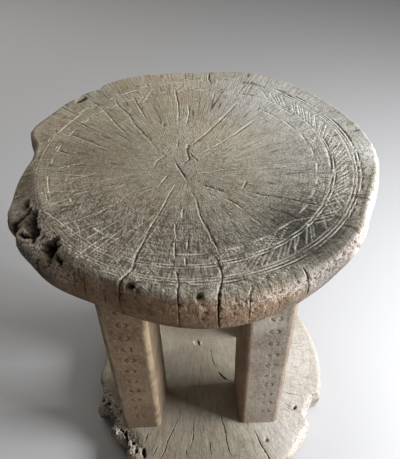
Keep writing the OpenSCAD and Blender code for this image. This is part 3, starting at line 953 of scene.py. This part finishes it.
# cracks: half width, depth, the height it runs down to, and its points on the seat
seatCracks = [
    [0.22, 2, 322, [(-14.6, -29.2), (-18.6, -38.6), (-22, -49.1), (-26, -61.1), (-35.2, -83.6)]],
    [0.5, 4.5, 302, [(-32, -78), (-35, -88), (-38.8, -97.9), (-40.2, -110.5), (-47.8, -120.5), (-49, -124)]],
    [0.92, 5, 300, [(-45, -116.5), (-48.4, -121.5), (-51.6, -127), (-50, -136), (-49, -145)]],
    [0.28, 3, 322, [(-3.3, -39.6), (0, -49), (1.6, -62.8), (6.7, -79.4), (9.7, -89.6), (12.8, -98.5)]],
    [0.42, 4.5, 302, [(8.9, -101.1), (12.3, -110.9), (13.4, -118.1), (12.8, -123), (11, -131)]],
    [0.8, 5, 302, [(12.8, -123), (10.5, -134), (8.5, -148)]],
    [0.2, 1.5, 325, [(-14.9, -70.6), (-14, -85.5)]],
    [0.28, 2.5, 325, [(-14.8, -88.7), (-14.3, -102.8)]],
    [0.22, 2, 325, [(-8.9, -102.3), (-7.8, -109.8)]],
    [0.22, 2, 325, [(-6.5, -86.8), (-6.6, -95.6)]],
    [0.24, 3, 302, [(-14, -114), (-12.6, -122), (-12.8, -129)]],
    [0.48, 4, 302, [(-13, -123), (-13.2, -134), (-13.8, -148)]],
    [0.22, 2, 302, [(31, -128), (29, -132), (27.5, -142)]],
    [0.35, 2.5, 325, [(-2.3, -13.3), (1.8, -17.9), (9.2, -18.3), (17.9, -15.5), (26.4, -15.2),
    (35.1, -14.1)]],
    [0.25, 2, 325, [(35, -15), (56.5, -15.7), (75, -14.1)]],
    [0.41, 3, 325, [(28, -38), (32.6, -39.6), (45.7, -45), (60.9, -49.3), (76.1, -57), (90, -62)]],
    [0.35, 2.5, 325, [(-1, -25.2), (6.6, -32.3), (14.6, -36.8), (22.4, -42)]],
    [0.3, 2, 325, [(34.8, -66.7), (42.4, -75.4)]],
    [0.37, 3, 325, [(-5.4, 5), (-5.4, 15.9), (2.2, 24.6), (10.9, 35.4), (19.6, 48.5), (28.3, 61.5),
    (37, 74.6),
                   (41.3, 80)]],
    [0.26, 2.5, 325, [(1.5, 1.5), (4.1, 6.1), (12.8, 13), (23.5, 22), (34.8, 33.3), (45.7, 44.1),
    (52.2, 50.7)]],
    [0.35, 2.5, 325, [(-13.5, 15.9), (-12.6, 28.9)]],
    [0.24, 2, 325, [(-12.6, 50), (-12.6, 68), (-13.5, 83.3), (-16.3, 107.2)]],
    [0.24, 2, 325, [(-4.3, 81.1), (-3.3, 68), (-5.4, 52.8), (-7, 43)]],
    [0.32, 2.5, 325, [(-29.3, 13.7), (-33.7, 24.6), (-41.3, 37.6), (-50, 52.8), (-56.5, 68), (-66.3, 83.3),
    (-69.6, 93)]],
    [0.24, 2, 325, [(-40.2, 59.3), (-45.7, 74.6), (-51.1, 87.6), (-55.4, 96.3)]],
    [0.24, 2, 325, [(-53.3, 34.3), (-63, 48.5), (-73.9, 68), (-81.5, 81.1)]],
    [0.24, 2, 325, [(-75, 37.6), (-87, 47.4), (-97.8, 57.2), (-106.5, 62.6)]],
    [0.24, 2, 325, [(-63, 13.7), (-76.1, 22.4), (-93.5, 34.3), (-113, 44.1)]],
    [0.3, 2, 325, [(-97.8, 11.5), (-108.7, 17)]],
    [0.3, 2, 325, [(-100, -14.6), (-80.4, -17.8)]],
    [0.35, 2, 325, [(-115.2, -36.3), (-97.8, -34.1), (-82, -34)]],
    [0.5, 3.5, 322, [(17.4, 112), (15.2, 120.2), (16.3, 133), (17, 142)]],
    [0.24, 2, 325, [(48.9, 110.4), (63, 102.8)]],
    [0.24, 2, 325, [(17.4, 83.3), (20, 96)]],
    [0.3, 2, 325, [(-25, 52.8), (-26, 44)]],
    [0.3, 2, 325, [(37, -28), (33, -38)]],
    [0.3, 2, 325, [(-77, -42), (-68, -45)]],
    [0.46, 3, 325, [(-15.2, -2.7), (-12.5, -10), (-9.8, -17.1), (-6.7, -25.7)]],
    [0.46, 3, 325, [(-10.9, -7.4), (-4.2, 1.1), (-5.8, 6.8), (-6.3, 16.3), (-1, 25.7)]],
    [0.3, 2, 325, [(-4.1, 9.5), (0.1, 0.8), (2.2, -4.8)]],
    [0.25, 2, 325, [(-27.5, -31.6), (-21, -18.9)]],
    [0.25, 2, 325, [(-23, 6.1), (-29.5, -0.8), (-30.9, -7.8)]],
    [0.3, 2, 325, [(8.3, -40.3), (14.1, -46.1)]],
    [0.3, 2.5, 325, [(20, -47.2), (25.7, -52.1), (31, -58.3)]],
    [0.25, 2, 325, [(-9.5, -55.8), (-10.1, -65.8)]],
    [0.4, 2, 325, [(-102.8, -7), (-98, -4.5)]],
    [0.4, 2, 325, [(-94, -3), (-85.2, -1.1)]],
    [0.65, 3, 306, [(-58.1, -117.4), (-64.8, -130.8)]],
    [0.65, 3, 306, [(-70.4, -110.5), (-78.5, -123.1)]],
    [0.65, 3, 306, [(-76.7, -106.2), (-85.5, -118.3)]],
    [0.38, 2.5, 306, [(62.2, -115.3), (69.3, -128.5)]],
]
# holes, written like the cracks
seatCavities = [
    [4, 8, 308, [(-123, -40), (-122.6, -41.4)]],
    [2.8, 3, 308, [(-131, -55), (-126, -52.5), (-119.5, -48.5)]],
    [5.6, 11, 304, [(-115.5, -55), (-114.5, -63), (-111.5, -71)]],
    [2.2, 5, 308, [(-122, -66), (-118, -69), (-113, -71)]],
    [8, 14, 300, [(-98.5, -84), (-97, -88), (-95, -91)]],
    [2.2, 4, 302, [(-90.5, -95), (-87.5, -99.5)]],
    [1.5, 4, 312, [(-102.6, -77.5), (-102.2, -77)]],
    [1.4, 3, 312, [(-100.2, -78.5), (-100, -78)]],
    [1.2, 3, 308, [(-107, -90), (-105, -97)]],
    [3, 5, 320, [(-102, 90), (-98, 94)]],
]
seatPits = [[3.0, 8, -42.5, -124.5, 330], [1.5, 2.0, -37.5, -126, 329], [2.1, 5, -0.6, -130.7, 326.5]]
# pits at random round the side: runs are from, to, number and size
seatRim = {"seed": 5, "reach": 22, "crowded": 6,
           "runs": [(-100, -50, 90, 0.8), (-50, -18, 34, 1.15), (-140, -100, 40, 0.8), (-18, 60, 34, 0.7),
                    (60, 200, 50, 0.9)]}
# long pale strokes over the left side, each crossing the next
seatScratches = [[0.54, 0.3, 328, corners] for corners in (
    [(-82.2, -23.6), (-69.6, -23.7), (-58.5, -18.5), (-55.5, -17.1), (-50.9, -20.7)],
    [(-55.4, -17.9), (-35.5, -12.4), (-26.8, -15.6)], [(-52.3, -43.1), (-42.8, -32.7)],
    [(-43.2, -42.9), (-34.5, -34.9), (-27.5, -28.9)], [(-62.2, -29.9), (-54.8, -25.5)],
    [(-109.5, -51.9), (-90.3, -41.8)], [(-90.9, -69.6), (-78.5, -63.1), (-64.8, -54.7), (-57.2, -50)],
    [(-112, -48.4), (-88.7, -69.7)],
    [(-85.8, -80.7), (-70.8, -70.8), (-55.9, -63.6)], [(-80, -104.2), (-72.2, -93.4), (-64.7, -85.1),
    (-56.6, -79.4)],
    [(-74.9, -85.2), (-63.2, -74.4), (-52.4, -65.5), (-39.6, -53.7)],
    [(-65.5, -96.6), (-55.4, -86.3), (-43.3, -75.6), (-30.5, -64.3), (-22.3, -54.8)],
    [(-54.6, -39.5), (-42.4, -34.8), (-26.5, -27.4)], [(-104.9, -54.8), (-86.9, -70.6), (-77.2, -80.5)],
    [(-41.8, -15.8), (-32.4, -11.2)],
    [(-35.6, -11), (-25.6, -22.8)], [(-37.8, -9.1), (-31.5, -19.8)], [(-40.5, -38.7), (-32.1, -32.1)],
    [(-6.7, -24), (0.2, -19.4)], [(-12, -29.4), (-8.8, -25.5)], [(1.1, -6.5), (4.7, 6.9)],
    [(-6.3, 17.3), (-6.9, 9.6), (-5.3, 6.7)],
    [(-92, -76), (-78, -70), (-62, -66)], [(-70, -98), (-58, -84), (-46, -70)], [(-83, -62), (-78, -76),
    (-74, -90)],
    [(-27.2, -74.6), (-34.1, -87.6)], [(-58, -78), (-70, -91)], [(-60, -34), (-46, -22)], [(-70, -60),
    (-52, -44)],
    [(-96, -20), (-84, -17), (-72, -12)], [(-88, -38), (-76, -33)])]
# border rings: radius, centre, wander, half width, depth, least strength, strong side, seed
seatRings = [(118.6, (-1, -1.5, 0), 1.6, 0.58, 0.5, 0.5, (1, -0.4, 0), 1.0),
             (120.8, (-1, -1.5, 0), 1.6, 0.55, 0.5, 0.3, (1, -0.4, 0), 1.1),
             (123.3, (-1, -1.5, 0), 1.6, 0.58, 0.4, 0.1, (1, -0.2, 0), 1.2),
             (105.9, (-4.5, -3, 0), 2.0, 0.62, 0.6, 0.5, (1, -0.5, 0), 4.0),
             (108.0, (-4.5, -3, 0), 2.0, 0.58, 0.6, 0.25, (1, -0.5, 0), 4.1),
             (93.5, (-3, -6, 0), 3.0, 0.62, 0.5, 0.15, (1, -0.7, 0), 7.0)]
# the shaded wall of the deepest rings
seatGroove = {"out": 1.0, "halfWidth": 0.4, "depth": 0.5, "least": 0.05}
seatGrooves = [(ring[0] + seatGroove["out"], *ring[1:3], seatGroove["halfWidth"], seatGroove["depth"],
                seatGroove["least"], *ring[6:]) for ring in seatRings[1:5]]
seatHatchSpot = {"centre": (-2, -1.5, 0), "jitter": 0.7}
# hatching: count, group, inner, outer, lean, from, to, missing, half width, depth, seed
seatHatching = [(34, 34, 104.5, 117.5, -7.5, -20, 52, 0.1, 0.54, 0.35, 1),
                (14, 14, 104.5, 117.5, 7.5, 12, 55, 0.25, 0.5, 0.3, 11),
                (11, 11, 105, 118, -7.0, -46, -20, 0.1, 0.5, 0.3, 2),
                (11, 11, 105, 118, 7.0, -46, -20, 0.15, 0.5, 0.3, 3),
                (18, 18, 107, 119, 6.0, -78, -44, 0.15, 0.52, 0.35, 4),
                (14, 5, 93, 102, 6.0, -28, 26, 0.3, 0.5, 0.3, 9),
                (14, 4, 97, 106, 6.0, -80, -45, 0.3, 0.45, 0.3, 10),
                (12, 4, 124, 130, 3.0, -100, -55, 0.4, 0.4, 0.25, 12),
                (30, 4, 96, 116, 9.0, 60, 130, 0.5, 0.45, 0.25, 13)]

seatPiece = discPiece("seatWood", seat)
borderLines = crackLines("borderLines", seatScratches + paintedLightBeside(seatCracks), seed=9, blunt=0.5)
ringLines(borderLines, seatRings)
for count, group, inner, outer, lean, start, stop, missing, halfWidth, depth, seed in seatHatching:
    runTree(borderLines, "borderHatching", {
        "Count": count, "Group": group, "Inner Radius": inner * mm, "Outer Radius": outer * mm,
        "Centre": [c * mm for c in seatHatchSpot["centre"]], "Lean": lean, "From": float(start),
        "To": float(stop), "Missing": missing, "Jitter": seatHatchSpot["jitter"],
        "Half Width": halfWidth * mm, "Depth": depth * mm, "Seed": seed})
bakeTrees(borderLines)
print("border lines:", len(borderLines.data.vertices))
dressDisc(seatPiece, seat, discWood("seatWood", seatFinish), seatCracks, seatCavities,
          seatPits + rimPits(seat, seatRim), borderLines, seatScratches, seatGrooves)
insideBox(seatPiece, "seat")
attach(seatPiece, "root")
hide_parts("seat")
print("seat finished:", len(seatPiece.data.polygons), "faces")


# The base

base = {
    "radius": 137, "top": 36, "under": 0, "dish": 0, "belly": 1.5, "topRound": 5, "underRound": 6,
    "lobes": [[175, 15, -12.4], [-166, 6, -12.4], [-142, 8, -5.1], [-134, 5, -3.6], [-52, 8, 5.1]],
    "nicks": [[-166, 4, 7], [-134.5, 3, -4], [-50, 7, -3.5], [0, 30, -1.2]],
    "breaks": [[-28, 7.2, -9], [-151.5, 5.6, -13]], "tapers": [],
    "ruins": [[-160, 9, 108, 0.9, 999, 6], [-150, 6, 104, 0.9, 999, 6], [-137, 13, 112, 1.0, 999, 4],
              [-28, 8, 120, 0.6, 999, 8], [-44, 6, 126, 0.5, 999, 26], [170, 14, 122, 0.4, 999, 4],
              [60, 80, 132, 0.2, 999, 4]],
    "slumps": [[200, 16, 100, 6, 20], [225, 12, 108, 5, 16]],
    # patches as on the seat: partly the wood's own tone, partly painted light brighter on the right under the
    # key light, and painted shade in the middle under the seat
    "patches": [[110, 0, 50, 0.36, -0.8], [85, -85, 40, 0.22, -0.8], [0, -115, 50, -0.34, 0.5],
                [-5, 10, 50, -0.28, 0.1], [-60, -100, 40, -0.2, 0.5]],
    "rimPatches": [[-150, 40, -0.35, 0.3], [-30, 30, 0.1, -0.5]],
    "nets": [[-90, 40, 100, 40, 0.2], [0, 60, 110, 20, 0.3]],
    "turns": [(-190, 10, 480), (10, 170, 208)], "sideRows": 18, "roundRows": 6,
    "topRows": [(1.5, 12, 1.5, 8), (12, 60, 1.6, 4), (60, 90, 1.6, 2), (90, 130.4, 1.5, 1)],
    "underRows": [(129, 118, 4, 2), (112, 60, 5, 4), (54, 4, 6, 8)],
    "wave": 1.2, "waveScale": 15.0, "rough": 1.1, "roughScale": (150, 45, 80), "ruin": 6.0, "seed": 11.0,
    "floor": 0, "splitZones": [[-147, 22, 104, 8], [-30, 14, 118, 12]], "splitFrom": 6,
    "ruinFades": (8, 6), "followFrom": 0.8,
}
baseFinish = dict(
    seatFinish, pith=(-8, 25, 0), rays=20.0, rings=200.0, seed=7.0, faceDark=(0.2, 0.175, 0.13), tooling=3.0,
    facePale=(0.31, 0.28, 0.22), faceWarm=(0.26, 0.205, 0.145), faceBloom=(0.31, 0.3, 0.245), bloom=0.4,
    rayShade=(0.86, 0.85, 0.83), sideDark=(0.2, 0.165, 0.13), sidePale=(0.42, 0.38, 0.33), checks=0.3,
    speckle=0.2, bump=0.38, lowest=0.0, clean=20.0, soiling=0.5,
    strokes=0.04, faceCool=(0.335, 0.315, 0.295), sideWarm=(0.25, 0.19, 0.14), sideCool=(0.45, 0.43, 0.4))
baseCracks = [
    [0.42, 3, 14, [(-28, -62), (-31.2, -69.5), (-41.6, -91.7), (-45, -103), (-53, -118), (-61, -135)]],
    [0.38, 2.5, 30, [(-13.5, -66), (-13.9, -70.2), (-15.3, -89.6), (-17, -100)]],
    [0.36, 2.5, 10, [(11, -58), (14.6, -66), (18.7, -83.6), (20.5, -103.5), (27, -118)]],
    [0.55, 4.5, 12, [(49.4, -84.9), (55, -99.9), (61.5, -114.3), (64, -124), (70, -140)]],
    [0.34, 2.5, 30, [(36.5, -62.3), (42.5, -79.2)]],
    [0.4, 2.5, 30, [(-52, -96.4), (-56.8, -106.4)]],
    [0.4, 2.5, 30, [(-63, -83.4), (-65.7, -91.7)]],
    [0.34, 2, 30, [(-39.4, -98), (-41.4, -103)]],
    [0.34, 2, 30, [(-16.5, -94.8), (-18.7, -101.9)]],
    [0.34, 2, 30, [(-22.9, -103), (-23.3, -110.8)]],
    [0.36, 2, 30, [(2.2, -96), (2.7, -108.9)]],
    [0.31, 2, 30, [(82, -42), (100, -47), (108, -50)]],
    [0.28, 2, 30, [(85, -55), (92, -62)]],
    [0.28, 2, 30, [(85, -60), (95, -66)]],
    [0.34, 2, 30, [(-8.2, -18.2), (-7.4, -33.2)]],
    [0.36, 2, 30, [(7.6, 22), (8, 8), (11, -5), (15, -14)]],
    [1.1, 3, 30, [(15, -15), (21.5, -23.4), (27, -27)]],
    [0.5, 2.5, 30, [(27, -27), (31.4, -28.8), (38, -32)]],
    [1.6, 3.5, 30, [(-8.4, 28.5), (-6.8, 25), (-5.2, 21.5)]],
    [0.28, 2.5, 20, [(20, 60), (30, 92), (36, 120), (40, 142)]],
    [0.28, 2.5, 20, [(-40, 60), (-58, 88), (-70, 108), (-82, 128)]],
]
basePits = [[2.0, 3, 96, -62, 35], [1.8, 3, 61, -96, 35]]
baseRim = {"seed": 6, "reach": 26, "crowded": 8,
           "runs": [(-150, -30, 60, 1.0), (150, 215, 60, 1.3), (-30, 150, 50, 0.9)]}
baseCavities = [
    [2.1, 6, 20, [(-115.5, -40.5), (-114.8, -39.6)]],
    [1.8, 5, 24, [(-109, -45), (-108.6, -46)]],
    [1.8, 5, 24, [(-109, -51), (-108, -54.5)]],
    [1.7, 5, 24, [(-95, -57), (-94, -58)]],
    [1.7, 5, 24, [(-100.2, -62), (-99.8, -63)]],
    [1.8, 8, 16, [(-87.6, -79.5), (-86, -88.5)]],
    [1.8, 7, 16, [(-83.6, -95), (-83, -97)]],
    [1.9, 7, 16, [(-75.4, -99), (-74.6, -101)]],
    [1.9, 8, 16, [(-67.6, -100), (-65.6, -106)]],
    [1.5, 5, 20, [(-93, -76), (-91, -78)]],
    [1.3, 4, 20, [(-80, -91), (-78, -92)]],
    [1.2, 5, 16, [(117.5, -53), (113, -62), (110, -69)]],
]
# pale lips on both sides of the widest crack: half width, depth, the height they run down to, and points
baseLips = [[2.0, 0.1, 30, [(-12.5, 29), (-10, 22)]], [1.6, 0.1, 30, [(-4.4, 28), (-2.2, 21)]]]

basePiece = discPiece("baseWood", base)
dressDisc(basePiece, base, discWood("baseWood", baseFinish), baseCracks, baseCavities,
          basePits + rimPits(base, baseRim),
          crackLines("baseLips", baseLips, seed=10, blunt=drawing["blunt"]))
insideBox(basePiece, "base")
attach(basePiece, "root")
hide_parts("base")
print("base finished:", len(basePiece.data.polygons), "faces")


# The posts

posts = {
    "depth": 48, "width": 37, "corner": 3, "splay": 6, "gapDeep": 58, "shift": 5.5, "foot": 36, "height": 260,
    "bite": 0.8, "edgeWidth": 4.0, "softening": 2, "outerFoot": 0.0, "twist": 0.0, "marksOut": 0.0,
    "marksDrift": 0.0, "wave": 1.4, "waveScale": 24.0, "rough": 0.35, "roughScale": (300, 300, 60),
    "ruin": 2.0, "floor": -100, "room": 6, "outerSkin": (0.9, 0.08), "innerSkin": (0.16, 0.06),
    "marks": {"pairs": 13, "first": 26, "pitch": 18, "spread": 4.4, "radius": 2.1, "sweep": 215.0,
              "halfWidth": 0.7, "depth": 1.1, "jitter": 0.8},
}
# Two copies of one wood: the brown copy carries painted shade, for the posts on the left, and the pale copy
# carries painted light, for the posts on the right.
paintedShadePost = {
    "seed": 5.0, "across": 420.0, "along": 14.0, "roughness": 0.8, "bump": 0.5, "relief": 0.8, "rubbing": 0.6,
    "dark": (0.092, 0.054, 0.029), "pale": (0.238, 0.163, 0.098), "streak": (0.165, 0.106, 0.061),
    "fibre": (0.28, 0.215, 0.15), "rubbed": (0.36, 0.275, 0.165), "smudging": 0.85,
    "foot": (0.205, 0.15, 0.096), "footAmount": 0.6, "footTop": 190, "footLow": 60,
    "skin": (0.12, 0.08, 0.05), "skinAmount": 0.6, "innerShade": (0.98, 1.03, 1.05),
    "pore": (0.06, 0.042, 0.028), "dust": (0.36, 0.32, 0.26), "smudge": (0.105, 0.064, 0.04),
    "markShade": (0.045, 0.03, 0.02),
}
paintedLightPost = dict(
    paintedShadePost, seed=9.0, dark=(0.235, 0.19, 0.14), pale=(0.435, 0.385, 0.315), streak=(0.3, 0.26, 0.21),
    fibre=(0.45, 0.41, 0.36), dust=(0.55, 0.51, 0.46), rubbed=(0.31, 0.235, 0.16), rubbing=0.55,
    foot=(0.42, 0.36, 0.285), footAmount=0.4, smudge=(0.22, 0.175, 0.125), markShade=(0.08, 0.06, 0.045),
    skinAmount=0.8, innerShade=(0.66, 0.53, 0.43))
# the brown copy, with painted shade, goes on the left posts and the pale copy, with painted light, on the
# right posts
postPlaces = {
    "postFrontLeft": {"node": "front_left_post", "side": -1, "end": -1, "gap": 75, "lean": 4, "step": 1.1,
                      "seed": 21, "wood": "brown", "outerFoot": 2.2, "twist": 3.0, "marksOut": 2.5,
                      "marksDrift": -2.5},
    "postFrontRight": {"node": "front_right_post", "side": 1, "end": -1, "gap": 75, "lean": -1.5, "step": 1.1,
                       "seed": 22, "wood": "pale", "splay": 2.5, "width": 41, "marksOut": 5.0,
                       "marksDrift": -2.0},
    "postRearLeft": {"node": "rear_left_post", "side": -1, "end": 1, "gap": 90, "lean": 0, "step": 1.6,
                     "seed": 23, "wood": "brown"},
    "postRearRight": {"node": "rear_right_post", "side": 1, "end": 1, "gap": 90, "lean": 0, "step": 1.6,
                      "seed": 24, "wood": "pale"},
}
postMaterials = {"brown": postWood("brownPostWood", paintedShadePost), "pale": postWood("palePostWood", paintedLightPost)}


def markLines(name, post, marks):  # the punched pairs follow the lean of their post
    side, height = post["side"], post["height"]
    middle = post["gap"] / 2 + post["splay"] + post["width"] / 2 + post["marksOut"]
    footX = -post["shift"] + side * middle - side * post["lean"] * marks["first"] / height
    leanStep = side * (post["marksDrift"] - post["lean"]) / height * marks["pitch"]
    lines = makePiece(name, [(0, 0, 0)])
    runTree(lines, "punchedMarks", {
        "Pairs": marks["pairs"], "Lowest": (footX * mm, 0.0, (post["foot"] + marks["first"]) * mm),
        "Pitch": (leanStep * mm, 0.0, marks["pitch"] * mm), "Spread": marks["spread"] * mm,
        "Radius": marks["radius"] * mm, "Sweep": marks["sweep"], "Jitter": marks["jitter"] * mm,
        "Half Width": marks["halfWidth"] * mm, "Depth": marks["depth"] * mm, "Seed": post["seed"]})
    bakeTrees(lines)
    return lines


for name, place in postPlaces.items():
    post = {**posts, **place}
    piece = postPiece(name, post)
    material = postMaterials[post["wood"]]
    wear(piece, post, material)
    lines = markLines(name + "Marks", post, post["marks"])
    carve(piece, "mark", lines, material, Facing=(0.0, float(post["end"]), 0.0))
    bakeTrees(piece)
    dropLines(lines)
    insideBox(piece, post["node"], (post["room"] * mm, 0, post["bite"] * mm))
    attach(piece, "root")
    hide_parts(post["node"])
    piece.data.materials.clear()
    piece.data.materials.append(material)
    print(name, "finished:", len(piece.data.polygons), "faces")


# Floor, light and camera

def floorPiece(size):
    piece = makePiece("studioFloor", [(-size, -size, 0), (size, -size, 0), (size, size, 0), (-size, size, 0)],
                      [(0, 1, 2, 3)])
    material = bpy.data.materials.new("studioFloor")
    material.use_nodes = True
    shader = material.node_tree.nodes["Principled BSDF"]
    shader.inputs["Base Color"].default_value = (*studio["floor"], 1)
    shader.inputs["Roughness"].default_value = studio["floorRoughness"]
    piece.data.materials.append(material)


def softLight(name, place, target, size, power, colour):
    light = bpy.data.lights.new(name, "AREA")
    light.shape = "RECTANGLE"
    light.size, light.size_y = size
    light.energy = power
    light.color = colour
    lamp = bpy.data.objects.new(name, light)
    lamp.location = place
    lamp.rotation_euler = (Vector(target) - Vector(place)).to_track_quat("-Z", "Y").to_euler()
    scene.collection.objects.link(lamp)


studio = {
    "world": (0.97, 0.89, 0.81), "worldStrength": 0.055, "floor": (0.36, 0.36, 0.36), "floorRoughness": 0.9,
    "floorSize": 6.0,  # metres
    # each light is name, place, what it shines at, size, power and colour
    "lights": [("keyLight", (0.82, -0.19, 0.54), (0, 0, 0.2), (0.45, 0.35), 25, (0.985, 1.0, 1.045)),
               ("fillLight", (0.5, -1.2, 0.9), (0, 0, 0.2), (1.0, 1.0), 3, (1.0, 0.93, 0.85)),
               ("topLight", (0.15, 0.35, 1.5), (0, 0, 0.3), (0.9, 0.9), 8, (1, 1, 1)),
               ("backLight", (-0.9, 1.1, 0.8), (0, 0, 0.2), (1.0, 1.0), 7, (1.0, 0.95, 0.9))],
}
scene.view_settings.view_transform = "Standard"
floorPiece(studio["floorSize"])
for light in studio["lights"]:
    softLight(*light)
world = bpy.data.worlds.new("studio")
world.use_nodes = True
background = world.node_tree.nodes["Background"]
background.inputs["Color"].default_value = (*studio["world"], 1)
background.inputs["Strength"].default_value = studio["worldStrength"]
scene.world = world

view = {"place": (0.00115, -0.3111, 0.5601), "pitch": 44.6, "roll": -2.4, "lens": 39.216}
pitch, roll = math.radians(view["pitch"]), math.radians(view["roll"])
ahead = Vector((0, math.cos(pitch), -math.sin(pitch)))
level = Vector((1, 0, 0))
upward = Vector((0, math.sin(pitch), math.cos(pitch)))
across = math.cos(roll) * level + math.sin(roll) * upward
upward = -math.sin(roll) * level + math.cos(roll) * upward
lens = bpy.data.cameras.new("photoCamera")
lens.lens, lens.sensor_width, lens.sensor_fit = view["lens"], 36.0, "AUTO"
camera = bpy.data.objects.new("photoCamera", lens)
turned = Matrix((across, upward, -ahead)).transposed().to_4x4()
camera.matrix_world = Matrix.Translation(view["place"]) @ turned
scene.collection.objects.link(camera)
scene.camera = camera
